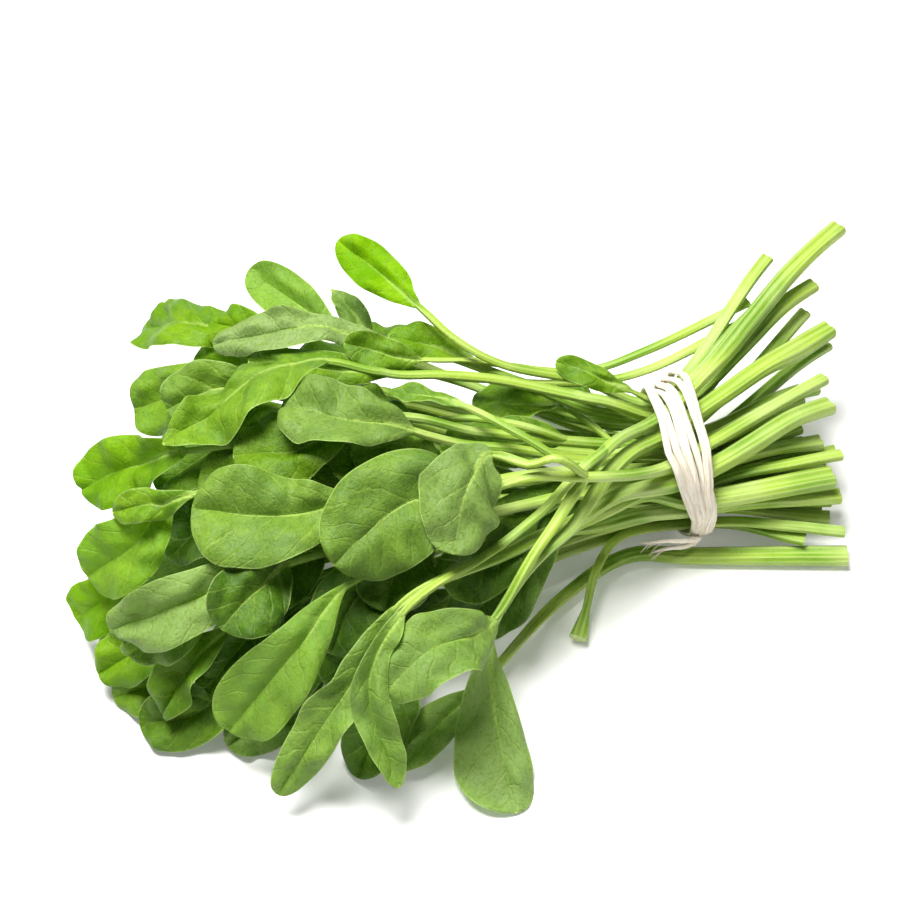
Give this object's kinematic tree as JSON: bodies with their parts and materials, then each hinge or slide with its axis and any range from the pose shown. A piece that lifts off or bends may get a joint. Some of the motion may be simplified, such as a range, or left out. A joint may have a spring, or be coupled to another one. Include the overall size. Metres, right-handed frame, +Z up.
{
  "type": "spinach bunch",
  "caption": "Bunch of fresh spinach lying on its side: oval leaves heaped at one end, long cut stalks fanned at the other, gathered by a pale tie of twisted fibre.",
  "frame": {"origin": "on the surface that the bunch lies on, under the middle of the tie", "axes": "+X along the bunch to the cut ends of the stalks, +Y across it to the far side, +Z up; the leaves lie toward -X"},
  "size_m": [0.3457, 0.2387, 0.108],
  "materials": {
    "leafy_stem": "satin",
    "tie": "matte"
  },
  "bodies": {
    "root": {"stem_low_left": "leafy_stem", "stem_low_back": "leafy_stem", "stem_low_front": "leafy_stem", "stem_back_neck": "leafy_stem", "stem_table_stalk": "leafy_stem", "stem_front_edge": "leafy_stem", "stem_front_stub": "leafy_stem", "stem_left_edge": "leafy_stem", "stem_front_low": "leafy_stem", "stem_inner_front": "leafy_stem", "stem_left_curl": "leafy_stem", "stem_left_rim": "leafy_stem", "stem_left_fold": "leafy_stem", "stem_left_end": "leafy_stem", "stem_inner_slope": "leafy_stem", "stem_left_glossy": "leafy_stem", "stem_front_dark": "leafy_stem", "stem_left_bright": "leafy_stem", "stem_back_low": "leafy_stem", "stem_left_back": "leafy_stem", "stem_left_back_inner": "leafy_stem", "stem_back_bright": "leafy_stem", "stem_inner_top": "leafy_stem", "stem_thick_front": "leafy_stem", "stem_top_small": "leafy_stem", "stem_back_pale": "leafy_stem", "stem_neck_back": "leafy_stem", "stem_neck_front": "leafy_stem", "stem_top_dark": "leafy_stem", "stem_top_round": "leafy_stem", "stem_top_grey": "leafy_stem", "stem_front_large": "leafy_stem", "stem_back_long": "leafy_stem", "stem_front_rolled": "leafy_stem", "stem_back_silver": "leafy_stem", "stem_back_pair": "leafy_stem", "stem_top_lance": "leafy_stem", "stem_top_twisted": "leafy_stem", "stem_back_raised": "leafy_stem", "stem_neck_small": "leafy_stem", "stem_front_hanging": "leafy_stem", "stem_front_fork": "leafy_stem", "stem_top_broad": "leafy_stem", "tie": "tie"}
  },
  "joints": []
}
